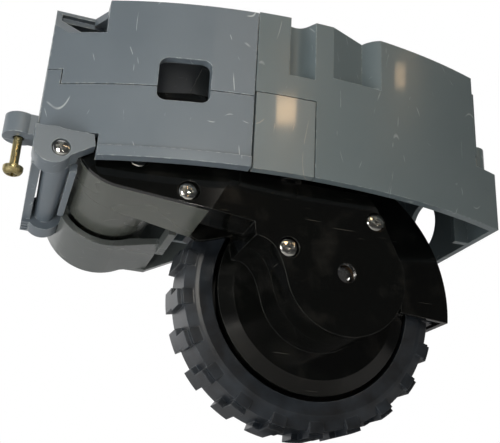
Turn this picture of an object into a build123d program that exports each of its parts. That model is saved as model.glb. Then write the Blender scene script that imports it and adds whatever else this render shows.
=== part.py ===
# Side wheel module of a robot vacuum: a sprung drive wheel with its gearbox and motor in a moulded well.
# Millimetres. X runs along the robot's travel, +Y points to the middle of the robot, +Z is up.
# The origin is the seat on top of the front fixing boss, where the module meets the chassis.
import math
import os

from build123d import *

os.makedirs("parts", exist_ok=True)

# Wheel datum: the axle in the plane of the tyre's outer lip, measured from the fixing seat
axle_x = 79.3
axle_y = 8.9
axle_z = -30.2

# Wheel and tyre
tyre_r = 36.0
tread_valley_r = 34.3
tyre_ridge_r = 31.4
tyre_lip_r = 27.3
tyre_width = 15.6
lug_count = 21
lug_front_deg = 6.6
lug_rear_deg = 8.6
tyre_bed = 5.1
rim_outer_r = tread_valley_r - tyre_bed
rim_wall = 1.8
hub_r = 7.0
shaft_r = 3.0
shaft_flat = 2.4
running_gap = 0.05

# Arm: the motor's axis is the pivot of the arm that carries the wheel
pivot_x = -52.8
pivot_z = 27.9
can_r = 12.0
barrel_wall = 1.6
barrel_r = can_r + barrel_wall
barrel_end_y = 18.5
sleeve_wall = 0.9
sleeve_r = can_r + sleeve_wall
sleeve_end_y = 39.5
motor_plate_y = 1.0
can_end_y = 33.0
arm_travel = 32.0

# Gearbox
gearbox_face_y = -21.1
gearbox_wall = 1.5
gearbox_round_r = 15.5
floor_y = -2.0
floor_thick = 1.5
disc_r = 26.0
fender_gap = 2.3
fender_r = tyre_r + fender_gap
fender_thick = 1.3
fender_back_y = 10.0
screw_recess_r = 2.6
post_r = 2.0
pin_r = 1.0

# Gear train, motor to wheel: teeth and modules
pinion_teeth = 12
first_wheel_teeth = 44
first_small_teeth = 12
second_wheel_teeth = 40
second_small_teeth = 17
third_wheel_teeth = 24
third_small_teeth = 13
output_teeth = 24
first_module = 0.5
second_module = 0.6
third_module = 0.8
output_module = 1.0
tooth_backlash = 0.14

# Well: the outer wall follows the round edge of the robot
robot_x = -7.8
robot_y = 122.0
wall_face_r = 149.8
wall_thick = 2.2
rim_z = 20.0
top_z = 63.6
roof_thick = 2.2
left_x = -75.3
seam_x = -27.0
seam_z = 39.3
seam_gap = 0.25
right_top_x = 38.0
right_low_x = 45.6
right_step_z = 36.3
well_wall = 1.6
well_back_y = 28.6
bay_back_y = 46.0
arch_gap = 3.2

# Cradle that holds the motor barrel
cradle_r = 14.6
cradle_wall = 1.6
cradle_front_y = 18.7
trunnion_r = 5.0

# Fixing bosses and their captive screws
boss_r = 3.8
boss_height = 5.2
captive_hole_r = 1.35
captive_shank_r = 1.05
captive_long = 12.6
captive_sunk = 0.2


def side(y):
    """Plane across the axle at depth y, seen from the robot's edge: x to the right, z up."""
    return Plane(origin=(axle_x, axle_y + y, axle_z), x_dir=(1, 0, 0), z_dir=(0, -1, 0))


def plan(z):
    """Plane seen from above at height z over the axle."""
    return Plane(origin=(axle_x, axle_y, axle_z + z), x_dir=(1, 0, 0), z_dir=(0, 0, 1))


def across(x):
    """Plane square to the travel direction at distance x from the axle: y to the right, z up."""
    return Plane(origin=(axle_x + x, axle_y, axle_z), x_dir=(0, 1, 0), z_dir=(1, 0, 0))


def polar(r, deg, centre=(0.0, 0.0)):
    """Point at radius r and angle deg about a centre."""
    return (centre[0] + r * math.cos(math.radians(deg)), centre[1] + r * math.sin(math.radians(deg)))


def heading(start, end):
    """Angle in degrees of the line from start to end."""
    return math.degrees(math.atan2(end[1] - start[1], end[0] - start[0]))


def save(part, name):
    """Label a finished piece and write it."""
    part.label = name
    export_step(part, "parts/" + name + ".step")


pivot = (pivot_x, pivot_z)
axle = (0.0, 0.0)


# Places of the gear shafts: each centre distance is the sum of its pair's pitch radii
def pitch_r(teeth, module):
    return teeth * module / 2


first_reach = pitch_r(pinion_teeth, first_module) + pitch_r(first_wheel_teeth, first_module)
second_reach = pitch_r(first_small_teeth, second_module) + pitch_r(second_wheel_teeth, second_module)
third_reach = pitch_r(second_small_teeth, third_module) + pitch_r(third_wheel_teeth, third_module)
output_reach = pitch_r(third_small_teeth, output_module) + pitch_r(output_teeth, output_module)
first_shaft = polar(first_reach, 3.0, pivot)
second_shaft = polar(second_reach, -17.2, first_shaft)


def meet(a, reach_a, b, reach_b):
    """Upper point at reach_a from a and reach_b from b."""
    gap = math.hypot(b[0] - a[0], b[1] - a[1])
    along = (reach_a**2 - reach_b**2 + gap**2) / (2 * gap)
    off = math.sqrt(reach_a**2 - along**2)
    ux = (b[0] - a[0]) / gap
    uz = (b[1] - a[1]) / gap
    return (a[0] + along * ux - off * uz, a[1] + along * uz + off * ux)


third_shaft = meet(second_shaft, third_reach, axle, output_reach)

# Depths of the four gear meshes, front to back
second_layer = (-15.0, -12.4)
first_layer = (-11.6, -9.1)
third_layer = (-8.8, -5.9)
output_layer = (-5.6, -2.3)


def gear_outline(centre, teeth, module, phase_deg):
    """Spur gear with a tooth centred on phase_deg, drawn with four points to a flank."""
    pressure = math.radians(20.0)
    r_pitch = pitch_r(teeth, module)
    r_base = r_pitch * math.cos(pressure)
    r_tip = r_pitch + 0.94 * module
    r_root = r_pitch - 1.22 * module
    half_pitch = math.pi / (2 * teeth) - tooth_backlash * module / r_pitch
    inv_pitch = math.tan(pressure) - pressure

    def half_angle(r):
        if r <= r_base:
            return half_pitch + inv_pitch
        spread = math.acos(r_base / r)
        return half_pitch + inv_pitch - (math.tan(spread) - spread)

    r_low = max(r_root, r_base)
    undercut = 0.14 * module / r_pitch if r_root < r_base else 0.0
    flank = [(r_root, half_angle(r_low) - undercut), (r_low, half_angle(r_low) - undercut / 2)]
    flank += [(r, half_angle(r)) for r in (r_pitch, r_tip)]
    points = []
    for tooth in range(teeth):
        mid = math.radians(phase_deg) + 2 * math.pi * tooth / teeth
        for r, half in flank:
            points.append((r * math.cos(mid - half), r * math.sin(mid - half)))
        for r, half in reversed(flank):
            points.append((r * math.cos(mid + half), r * math.sin(mid + half)))
    with BuildSketch() as gear:
        with Locations(centre):
            Polygon(*points, align=None)
    return gear.sketch


def round_outline(r, centre=axle):
    """Full circle."""
    with BuildSketch() as shape:
        with Locations(centre):
            Circle(r)
    return shape.sketch


def box_outline(x_from, x_to, low, high):
    """Rectangle between two corners."""
    with BuildSketch() as shape:
        with Locations(((x_from + x_to) / 2, (low + high) / 2)):
            Rectangle(x_to - x_from, high - low)
    return shape.sketch


def sector_outline(r_in, r_out, mid_deg, wide_deg, centre=axle):
    """Piece of a ring between two radii, centred on mid_deg."""
    with BuildSketch() as shape:
        with BuildLine():
            a = polar(r_in, mid_deg - wide_deg / 2, centre)
            b = polar(r_out, mid_deg - wide_deg / 2, centre)
            c = polar(r_out, mid_deg + wide_deg / 2, centre)
            d = polar(r_in, mid_deg + wide_deg / 2, centre)
            Line(a, b)
            ThreePointArc(b, polar(r_out, mid_deg, centre), c)
            Line(c, d)
            ThreePointArc(d, polar(r_in, mid_deg, centre), a)
        make_face()
    return shape.sketch


def polygon_outline(points):
    """Closed outline through corners."""
    with BuildSketch() as shape:
        with BuildLine():
            Polyline(*points, close=True)
        make_face()
    return shape.sketch


def slab(outline, front_y, back_y, mode=Mode.ADD):
    """Add or cut an outline drawn across the axle, between two depths."""
    with BuildSketch(side(back_y)) as face:
        add(outline)
    extrude(face.sketch, amount=back_y - front_y, mode=mode)


def block(outline, low_z, high_z, mode=Mode.ADD):
    """Add or cut an outline drawn from above, between two heights."""
    with BuildSketch(plan(low_z)) as face:
        add(outline)
    extrude(face.sketch, amount=high_z - low_z, mode=mode)


def bar(outline, left_x, right_x, mode=Mode.ADD):
    """Add or cut an outline drawn along the travel, between two distances."""
    with BuildSketch(across(left_x)) as face:
        add(outline)
    extrude(face.sketch, amount=right_x - left_x, mode=mode)


# Outline of the arm as the gearbox shows it: round at the wheel, waisted, round at the motor
lid_heel = (-23.2, 5.9)
lid_step = (-23.6, 9.2)
lid_crease = (-34.2, 10.4)
lid_top = ((-40.0, 42.4), (-24.0, 40.0), (-12.5, 35.4), (-2.5, 29.5), (8.2, 18.0))
lid_face_top = 21.1


def arm_outline(shrink=0.0):
    """Outline of the whole arm, with its edge moved in by shrink."""
    r = gearbox_round_r - shrink
    r_motor = barrel_r - shrink
    reach = math.dist(pivot, lid_crease)
    low_deg = heading(pivot, lid_crease) - math.degrees(math.acos(barrel_r / reach))
    with BuildSketch() as shape:
        with BuildLine():
            start = polar(r, 13.0)
            end = polar(r, -160.0)
            ThreePointArc(start, polar(r, -73.5), end)
            heel = (lid_heel[0], lid_heel[1] + shrink)
            Spline(end, (-16.3 + shrink, 0.2), (-18.6 + shrink * 0.6, 4.1 + shrink * 0.8), heel)
            step = (lid_step[0], lid_step[1] + shrink)
            crease = (lid_crease[0], lid_crease[1] + shrink)
            Line(heel, step)
            Line(step, crease)
            low = polar(r_motor, low_deg, pivot)
            top = polar(r_motor, 86.0, pivot)
            Line(crease, low)
            ThreePointArc(low, polar(r_motor, 160.0, pivot), top)
            corners = [top] + [(x - shrink * 0.5, z - shrink) for x, z in lid_top] + [start]
            Polyline(*corners)
        make_face()
    return shape.sketch


# Facet of the lid that follows the curved wall: its slope starts at the crease
facet_tilt = 13.9
crease_deg = heading(lid_crease, (-29.0, lid_face_top))


def facet_plane(depth):
    """Plane of the sloping left part of the lid, moved inboard by depth."""
    turn = math.radians(crease_deg)
    tilt = math.radians(facet_tilt)
    return Plane(
        origin=(axle_x + lid_crease[0], axle_y + gearbox_face_y + depth, axle_z + lid_crease[1]),
        x_dir=(math.cos(turn), 0, math.sin(turn)),
        z_dir=(-math.sin(turn) * math.sin(tilt), -math.cos(tilt), math.cos(turn) * math.sin(tilt)),
    )


def facet_depth(spot):
    """Depth of the sloping lid face at a place in front view."""
    normal_deg = crease_deg + 90.0
    off_x = spot[0] - lid_crease[0]
    off_z = spot[1] - lid_crease[1]
    reach = off_x * math.cos(math.radians(normal_deg)) + off_z * math.sin(math.radians(normal_deg))
    return gearbox_face_y + max(0.0, reach) * math.tan(math.radians(facet_tilt))


def arc_wall(r_in, r_out, x_from, x_to):
    """Plan of a stretch of the round outer wall."""
    with BuildSketch() as shape:
        with Locations((robot_x, robot_y)):
            Circle(r_out)
            Circle(r_in, mode=Mode.SUBTRACT)
        middle = ((x_from + x_to) / 2, -15.0)
        with Locations(middle):
            Rectangle(x_to - x_from, 60.0, mode=Mode.INTERSECT)
    return shape.sketch


def floor_plan(x_from, x_to, back_y):
    """Plan of a plate that ends at the round outer wall."""
    with BuildSketch() as shape:
        with Locations((robot_x, robot_y)):
            Circle(wall_face_r - wall_thick / 2)
        with Locations(((x_from + x_to) / 2, back_y - 50.0)):
            Rectangle(x_to - x_from, 100.0, mode=Mode.INTERSECT)
    return shape.sketch


# Raised place of the axle, at the top of the arm's travel
arm_reach = math.dist(pivot, axle)
raised_axle = polar(arm_reach, heading(pivot, axle) + arm_travel, pivot)
arch_r = tyre_r + arch_gap
arch_outer_r = arch_r + 1.8
wall_r = wall_face_r - wall_thick

# Gear phases: each driven wheel has a gap where its driver has a tooth
first_deg = heading(pivot, first_shaft)
second_deg = heading(first_shaft, second_shaft)
third_deg = heading(second_shaft, third_shaft)
output_deg = heading(third_shaft, axle)
gear_bore_r = pin_r + running_gap

# TYRE: rubber tread with two rows of staggered blocks, stretched over the rim
lug_pitch_deg = 360.0 / lug_count
lug_rear_start = -174.3
lug_front_start = lug_rear_start + 2.0
tread_front_y = 1.4
tread_mid_y = 8.0
tread_back_y = 14.6
shoulder_low_r = 31.7
shoulder_top_r = 34.9


def lug_ring(r_in, r_out, start_deg, wide_deg):
    """Ring of blocks drawn across the axle."""
    with BuildSketch() as shape:
        for lug in range(lug_count):
            add(sector_outline(r_in, r_out, start_deg + lug * lug_pitch_deg, wide_deg))
    return shape.sketch


rim_front_y = 1.6
rim_back_y = 14.4
with BuildPart() as tyre:
    with BuildSketch(across(0)) as section:
        with BuildLine():
            Polyline(
                (rim_front_y, tyre_lip_r),
                (0.1, tyre_lip_r),
                (-0.2, tyre_ridge_r - 0.6),
                (0.1, tyre_ridge_r + 0.3),
                (tread_front_y, tread_valley_r),
                (tread_back_y, tread_valley_r),
                (tyre_width, tyre_ridge_r + 0.6),
                (tyre_width, tyre_lip_r + 0.7),
                (rim_back_y, tyre_lip_r + 0.7),
                (rim_back_y, rim_outer_r),
                (rim_front_y, rim_outer_r),
                close=True,
            )
        make_face()
    axle_line = Axis((axle_x, axle_y, axle_z), (0, 1, 0))
    revolve(axis=axle_line)
    lug_low_r = tread_valley_r - 0.3
    slab(lug_ring(lug_low_r, tyre_r, lug_front_start, lug_front_deg), tread_front_y, tread_mid_y)
    slab(lug_ring(lug_low_r, tyre_r, lug_rear_start, lug_rear_deg), tread_mid_y, tread_back_y)
    slab(lug_ring(shoulder_low_r, shoulder_top_r, lug_front_start, lug_front_deg), 0.3, tread_front_y)
save(tyre.part, "tyre")

# WHEEL RIM: drum, web, ribs and hub moulded in one
hub_front_y = 4.0
hub_back_y = 13.9
web_front_y = 9.5
web_back_y = 11.5
rib_count = 6
with BuildPart() as wheel_rim:
    slab(round_outline(rim_outer_r), rim_front_y, rim_back_y)
    slab(round_outline(rim_outer_r - rim_wall), rim_front_y, web_front_y, Mode.SUBTRACT)
    slab(round_outline(rim_outer_r - rim_wall), web_back_y, rim_back_y, Mode.SUBTRACT)
    slab(round_outline(hub_r), hub_front_y, hub_back_y)
    for rib in range(rib_count):
        rib_deg = rib * 360.0 / rib_count
        with BuildSketch(side(hub_back_y)) as rib_face:
            with Locations(Location((0, 0), rib_deg)):
                with Locations(((hub_r + rim_outer_r) / 2 - 0.9, 0)):
                    Rectangle(rim_outer_r - hub_r - 1.0, 1.6)
        extrude(rib_face.sketch, amount=hub_back_y - web_back_y)
    slab(round_outline(shaft_r), hub_front_y, hub_back_y, Mode.SUBTRACT)
    slab(box_outline(shaft_flat, shaft_r + 0.5, -shaft_r, shaft_r), hub_front_y, hub_back_y)
save(wheel_rim.part, "wheel_rim")

# OUTPUT SHAFT: steel, with a flat where the rim's hub grips it and a thread for the axle screw
shaft_front_y = -18.5
axle_thread_r = 1.5
axle_thread_front_y = 5.0
with BuildPart() as output_shaft:
    slab(round_outline(shaft_r), shaft_front_y, hub_back_y)
    slab(box_outline(shaft_flat, shaft_r + 0.5, -shaft_r, shaft_r), hub_front_y, hub_back_y, Mode.SUBTRACT)
    slab(round_outline(axle_thread_r), axle_thread_front_y, hub_back_y, Mode.SUBTRACT)
save(output_shaft.part, "output_shaft")

# AXLE WASHER and AXLE SCREW behind the hub
washer_back_y = 14.5
with BuildPart() as axle_washer:
    slab(round_outline(5.0), hub_back_y, washer_back_y)
    slab(round_outline(axle_thread_r), hub_back_y, washer_back_y, Mode.SUBTRACT)
save(axle_washer.part, "axle_washer")


def cross_outline(length, width, centre=axle):
    """Cross recess of a screw head."""
    with BuildSketch() as shape:
        with Locations(centre):
            Rectangle(length, width, rotation=35)
            Rectangle(width, length, rotation=35)
    return shape.sketch


axle_head_back_y = 16.4
with BuildPart() as axle_screw:
    slab(round_outline(3.5), washer_back_y, axle_head_back_y)
    slab(round_outline(axle_thread_r), axle_thread_front_y + 1.0, washer_back_y)
    slab(cross_outline(3.4, 0.8), axle_head_back_y - 1.1, axle_head_back_y, Mode.SUBTRACT)
save(axle_screw.part, "axle_screw")

# OUTPUT GEAR: pressed on the shaft, last of the train
output_phase = output_deg + 180.0 + 180.0 / output_teeth
with BuildPart() as output_gear:
    slab(gear_outline(axle, output_teeth, output_module, output_phase), *output_layer)
    slab(round_outline(5.5), output_layer[0] - 2.6, output_layer[0])
    slab(round_outline(shaft_r), output_layer[0] - 2.6, output_layer[1], Mode.SUBTRACT)
save(output_gear.part, "output_gear")

# MOTOR SHAFT with its pinion
shaft_tip_y = -12.2
shaft_tail_y = 36.0
with BuildPart() as motor_shaft:
    slab(round_outline(pin_r, pivot), shaft_tip_y, shaft_tail_y)
save(motor_shaft.part, "motor_shaft")

with BuildPart() as motor_pinion:
    slab(gear_outline(pivot, pinion_teeth, first_module, first_deg), *first_layer)
    slab(round_outline(pin_r, pivot), *first_layer, Mode.SUBTRACT)
save(motor_pinion.part, "motor_pinion")

# IDLER GEARS: a large wheel and a small pinion moulded in one, turning on a fixed pin
with BuildPart() as first_idler_gear:
    phase = first_deg + 180.0 + 180.0 / first_wheel_teeth
    slab(gear_outline(first_shaft, first_wheel_teeth, first_module, phase), *first_layer)
    small_teeth = gear_outline(first_shaft, first_small_teeth, second_module, second_deg)
    slab(small_teeth, second_layer[0], first_layer[0])
    slab(round_outline(gear_bore_r, first_shaft), second_layer[0], first_layer[1], Mode.SUBTRACT)
save(first_idler_gear.part, "first_idler_gear")

second_neck_r = 3.4
with BuildPart() as second_idler_gear:
    phase = second_deg + 180.0 + 180.0 / second_wheel_teeth
    slab(gear_outline(second_shaft, second_wheel_teeth, second_module, phase), *second_layer)
    slab(round_outline(second_neck_r, second_shaft), second_layer[1], third_layer[0])
    slab(gear_outline(second_shaft, second_small_teeth, third_module, third_deg), *third_layer)
    slab(round_outline(gear_bore_r, second_shaft), second_layer[0], third_layer[1], Mode.SUBTRACT)
save(second_idler_gear.part, "second_idler_gear")

with BuildPart() as third_idler_gear:
    phase = third_deg + 180.0 + 180.0 / third_wheel_teeth
    slab(gear_outline(third_shaft, third_wheel_teeth, third_module, phase), *third_layer)
    small_teeth = gear_outline(third_shaft, third_small_teeth, output_module, output_deg)
    slab(small_teeth, third_layer[1], output_layer[1])
    slab(round_outline(gear_bore_r, third_shaft), third_layer[0], output_layer[1], Mode.SUBTRACT)
save(third_idler_gear.part, "third_idler_gear")

# Places of the four cover screws and how deep each head sits
screw_spots = ((-14.9, 4.2), (7.8, 14.5), (-39.6, 14.7), (-51.4, 22.4))
screw_seats = [facet_depth(spot) + 2.0 for spot in screw_spots]
screw_hole_r = 1.1
skirt_y = -12.0
lid_tail_y = -9.0
tray_x = -34.5
pad_back_y = -19.2
pin_boss_r = 2.2
pin_end_y = -0.9
pin_tips = (-15.9, -16.4, -18.6)
gear_shafts = (first_shaft, second_shaft, third_shaft)
boss_ends = (-15.3, -15.3, third_layer[0] - 0.3)
bush_r = 4.5
bush_front_y = -19.6
bush_back_y = -16.4

def tray_outline(shrink=0.0):
    """Outline of the arm left of the gearbox base."""
    with BuildSketch() as shape:
        add(arm_outline(shrink))
        add(box_outline(-80, tray_x, -30, 60), mode=Mode.INTERSECT)
    return shape.sketch


# Space inside the gearbox, to be cut from the cover
with BuildPart() as lid_space:
    slab(arm_outline(gearbox_wall), pad_back_y + gearbox_wall, skirt_y)
    with BuildSketch(side(pad_back_y + gearbox_wall)) as low_space:
        add(arm_outline(gearbox_wall))
        add(box_outline(-80, 40, -30, lid_face_top - gearbox_wall), mode=Mode.INTERSECT)
    extrude(low_space.sketch, amount=pad_back_y - gearbox_face_y)
    split(bisect_by=facet_plane(gearbox_wall), keep=Keep.BOTTOM)

# Space of the motor tray, behind the cover at the motor end
with BuildPart() as tray_space:
    slab(box_outline(-80, tray_x, -30, 60), gearbox_face_y, lid_tail_y)
    split(bisect_by=facet_plane(gearbox_wall), keep=Keep.BOTTOM)

# GEARBOX COVER: glossy black lid, flat over the gears and sloping along the round wall
lug_ring_at = (-15.0, -20.6)
lug_low_z = 21.0
stub_tip_y = -19.2
with BuildPart() as gearbox_cover:
    slab(arm_outline(), gearbox_face_y, skirt_y)
    slab(tray_outline(), skirt_y, lid_tail_y)
    slab(box_outline(-80, 40, lid_face_top, 60), gearbox_face_y, pad_back_y, Mode.SUBTRACT)
    split(bisect_by=facet_plane(0), keep=Keep.BOTTOM)
    add(lid_space.part, mode=Mode.SUBTRACT)
    add(tray_space.part, mode=Mode.SUBTRACT)
    for spot, seat_y in zip(screw_spots, screw_seats):
        slab(round_outline(screw_recess_r + 0.4, spot), seat_y - 1.0, seat_y + gearbox_wall)
        slab(round_outline(screw_recess_r, spot), gearbox_face_y - 1.0, seat_y, Mode.SUBTRACT)
        slab(round_outline(screw_hole_r + 0.1, spot), seat_y, skirt_y, Mode.SUBTRACT)
        slab(round_outline(post_r + 0.3, spot), seat_y + gearbox_wall, skirt_y, Mode.SUBTRACT)
    for shaft, tip_y, end_y in zip(gear_shafts, pin_tips, boss_ends):
        slab(round_outline(pin_boss_r, shaft), tip_y - 1.5, end_y)
        slab(round_outline(pin_r, shaft), tip_y, end_y, Mode.SUBTRACT)
    slab(round_outline(bush_r + 1.6), bush_front_y - 0.4, bush_back_y)
    slab(round_outline(bush_r), bush_front_y, bush_back_y, Mode.SUBTRACT)
    slab(round_outline(2.4), gearbox_face_y, bush_front_y, Mode.SUBTRACT)
    slab(round_outline(shaft_r, pivot), stub_tip_y, facet_depth(pivot) + 0.6)
    with BuildSketch(plan(lug_low_z)) as lug_plan:
        with Locations(lug_ring_at):
            Circle(2.7)
            Circle(1.4, mode=Mode.SUBTRACT)
    extrude(lug_plan.sketch, amount=1.6)
save(gearbox_cover.part, "gearbox_cover")

# Part of the gearbox floor that is set back under the second gear
notch_points = [(tray_x, 15.0), (-28.9, 16.2), (-23.6, 14.2), (-23.6, -5.0), (tray_x, -5.0)]
notch_inner = [(tray_x - 1, 16.2), (-28.7, 17.5), (-22.2, 15.1), (-22.2, -5.0), (tray_x - 1, -5.0)]
flange_left_x = tray_x + 0.2
flange_points = [
    (flange_left_x, 16.0),
    (-22.6, 16.0),
    (-22.6, 12.5),
    (-30.5, 9.8),
    (-32.4, 9.5),
    (flange_left_x, 10.4),
]


def deep_outline(shrink=0.0):
    """Outline of the rear half of the gearbox, right of the motor tray."""
    with BuildSketch() as shape:
        add(arm_outline(shrink))
        add(box_outline(tray_x, 40, -30, 60), mode=Mode.INTERSECT)
        add(polygon_outline(notch_inner if shrink else notch_points), mode=Mode.SUBTRACT)
    return shape.sketch


# GEARBOX BASE: black floor with the round shield over the wheel and the mudguard
shield_flat_r = 22.4
shield_edge_y = -0.4
shield_back_y = 2.0
fender_from_deg = -4.6
fender_to_deg = 96.0
fender_front_y = -3.0
fender_mid = (fender_from_deg + fender_to_deg) / 2
fender_wide = fender_to_deg - fender_from_deg
hub_boss_back_y = 3.6
with BuildPart() as gearbox_base:
    slab(deep_outline(), skirt_y, floor_y + floor_thick)
    with BuildSketch(across(0)) as shield:
        with BuildLine():
            Polyline(
                (floor_y, 0),
                (floor_y, shield_flat_r),
                (shield_edge_y, disc_r),
                (shield_back_y, disc_r),
                (shield_back_y, disc_r - 1.6),
                (floor_y + floor_thick, disc_r - 1.6),
                (floor_y + floor_thick, 0),
                close=True,
            )
        make_face()
    revolve(axis=axle_line)
    slab(round_outline(bush_r + 2.0), floor_y, hub_boss_back_y)
    slab(deep_outline(gearbox_wall), skirt_y, floor_y, Mode.SUBTRACT)
    slab(round_outline(bush_r), floor_y, hub_boss_back_y, Mode.SUBTRACT)
    with BuildSketch(side(skirt_y + 1.2)) as ledge:
        add(arm_outline())
        add(polygon_outline(notch_points), mode=Mode.INTERSECT)
    extrude(ledge.sketch, amount=1.2)
    slab(polygon_outline(flange_points), floor_y, floor_y + floor_thick)
    fender_face = sector_outline(disc_r - 1.5, fender_r, fender_mid, fender_wide)
    slab(fender_face, fender_front_y, fender_front_y + fender_thick)
    fender_rim = sector_outline(fender_r - fender_thick, fender_r, fender_mid, fender_wide)
    slab(fender_rim, fender_front_y, fender_back_y)
    fender_root = sector_outline(disc_r - 1.8, disc_r, fender_mid, fender_wide)
    slab(fender_root, fender_front_y, floor_y + floor_thick)
    for spot, seat_y in zip(screw_spots[:2], screw_seats[:2]):
        slab(round_outline(post_r, spot), seat_y + gearbox_wall, floor_y)
        slab(round_outline(screw_hole_r, spot), seat_y + gearbox_wall, seat_y + 8.0, Mode.SUBTRACT)
    slab(round_outline(pin_boss_r, second_shaft), third_layer[1] + 0.3, floor_y)
    slab(round_outline(pin_r, second_shaft), third_layer[1], pin_end_y, Mode.SUBTRACT)
    slab(round_outline(pin_r, third_shaft), floor_y, pin_end_y, Mode.SUBTRACT)
save(gearbox_base.part, "gearbox_base")

# MOTOR HOUSING: grey tray behind the cover, then the barrel that turns in the cradle
spring_lug_r = 17.0
spring_lug_deg = 150.0
spring_y = 4.0
spring_lug = polar(spring_lug_r, spring_lug_deg, pivot)


with BuildPart() as tray_cavity:
    slab(tray_outline(gearbox_wall), gearbox_face_y, floor_y)
    slab(box_outline(tray_x - 2, tray_x, 17.0, 38.0), gearbox_face_y, floor_y)

with BuildPart() as motor_tray:
    slab(tray_outline(), gearbox_face_y, floor_y + floor_thick)
    split(bisect_by=facet_plane(gearbox_wall), keep=Keep.BOTTOM)
    add(tray_cavity.part, mode=Mode.SUBTRACT)
    for spot, seat_y in zip(screw_spots[2:], screw_seats[2:]):
        slab(round_outline(post_r + 0.2, spot), seat_y + gearbox_wall, floor_y + 0.5)
        slab(round_outline(screw_hole_r, spot), seat_y, seat_y + 7.0, Mode.SUBTRACT)
        slab(round_outline(screw_recess_r + 0.45, spot), gearbox_face_y, seat_y + gearbox_wall, Mode.SUBTRACT)
    slab(round_outline(pin_boss_r, first_shaft), first_layer[1] + 0.3, floor_y + 0.5)

with BuildPart() as motor_housing:
    slab(round_outline(barrel_r - 0.1, pivot), floor_y + 0.6, barrel_end_y)
    slab(round_outline(sleeve_r, pivot), barrel_end_y, sleeve_end_y)
    slab(round_outline(can_r, pivot), motor_plate_y, sleeve_end_y, Mode.SUBTRACT)
    add(motor_tray.part)
    slab(round_outline(3.2, pivot), floor_y, motor_plate_y, Mode.SUBTRACT)
    slab(round_outline(pin_r, first_shaft), first_layer[1], pin_end_y, Mode.SUBTRACT)
    with BuildSketch(side(spring_y + 1.0)) as lug_face:
        with BuildLine():
            Polyline(
                polar(barrel_r - 0.8, spring_lug_deg - 18, pivot),
                polar(spring_lug_r + 2.0, spring_lug_deg - 5, pivot),
                polar(spring_lug_r + 2.0, spring_lug_deg + 5, pivot),
                polar(barrel_r - 0.8, spring_lug_deg + 18, pivot),
                close=True,
            )
        make_face()
        with Locations(spring_lug):
            Circle(0.9, mode=Mode.SUBTRACT)
    extrude(lug_face.sketch, amount=2.0)
save(motor_housing.part, "motor_housing")

# MOTOR HOUSING CAP: end plate of the barrel with the rear journal of the pivot
cap_back_y = 41.0
journal_end_y = 45.0
with BuildPart() as motor_housing_cap:
    slab(round_outline(sleeve_r, pivot), sleeve_end_y, cap_back_y)
    slab(round_outline(trunnion_r, pivot), cap_back_y, journal_end_y)
    slab(round_outline(2.6, pivot), cap_back_y - 0.5, journal_end_y, Mode.SUBTRACT)
    for slot_deg in (60.0, 240.0):
        slab(round_outline(1.4, polar(8.6, slot_deg, pivot)), sleeve_end_y, cap_back_y, Mode.SUBTRACT)
save(motor_housing_cap.part, "motor_housing_cap")

# MOTOR: steel can with two magnets, armature on the shaft and a plastic end cap
can_wall = 1.0
with BuildPart() as motor_can:
    slab(round_outline(can_r, pivot), motor_plate_y, can_end_y)
    slab(round_outline(can_r - can_wall, pivot), motor_plate_y + can_wall, can_end_y, Mode.SUBTRACT)
    slab(round_outline(3.2, pivot), floor_y + 1.0, motor_plate_y)
    slab(round_outline(gear_bore_r, pivot), floor_y, motor_plate_y + can_wall, Mode.SUBTRACT)
save(motor_can.part, "motor_can")

magnet_in_r = 9.0
with BuildPart() as motor_magnets:
    for magnet_deg in (0.0, 180.0):
        slab(sector_outline(magnet_in_r, can_r - can_wall, magnet_deg, 130.0, pivot), 5.0, 29.0)
save(motor_magnets.part, "motor_magnets")

armature_r = 8.6
with BuildPart() as motor_armature:
    slab(round_outline(armature_r, pivot), 7.0, 27.0)
    for slot in range(3):
        slab(round_outline(2.4, polar(7.0, 60.0 + slot * 120.0, pivot)), 7.0, 27.0, Mode.SUBTRACT)
    slab(round_outline(3.0, pivot), 27.0, 32.0)
    slab(round_outline(pin_r, pivot), 7.0, 32.0, Mode.SUBTRACT)
save(motor_armature.part, "motor_armature")

end_cap_back_y = 36.5
with BuildPart() as motor_end_cap:
    slab(round_outline(can_r, pivot), can_end_y, end_cap_back_y)
    slab(round_outline(4.0, pivot), end_cap_back_y, end_cap_back_y + 1.5)
    slab(round_outline(gear_bore_r, pivot), can_end_y, shaft_tail_y + 0.3, Mode.SUBTRACT)
save(motor_end_cap.part, "motor_end_cap")

# IDLER PINS: three steel pins held by the floor and the cover
with BuildPart() as idler_pins:
    for shaft, tip_y in zip(gear_shafts, pin_tips):
        slab(round_outline(pin_r, shaft), tip_y, pin_end_y)
save(idler_pins.part, "idler_pins")

# SHAFT BUSHES: sintered bronze, one in the cover and one in the base
with BuildPart() as shaft_bushes:
    slab(round_outline(bush_r), bush_front_y, bush_back_y)
    slab(round_outline(bush_r), floor_y, hub_boss_back_y)
    slab(round_outline(shaft_r + running_gap), bush_front_y, hub_boss_back_y, Mode.SUBTRACT)
save(shaft_bushes.part, "shaft_bushes")

# COVER SCREWS: four pan heads with a cross recess, sunk in the cover
with BuildPart() as cover_screws:
    for spot, seat_y in zip(screw_spots, screw_seats):
        slab(round_outline(2.3, spot), seat_y - 1.4, seat_y)
        slab(round_outline(screw_hole_r, spot), seat_y, seat_y + 7.0)
        slab(cross_outline(2.6, 0.7, spot), seat_y - 1.5, seat_y - 0.5, Mode.SUBTRACT)
save(cover_screws.part, "cover_screws")

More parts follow.
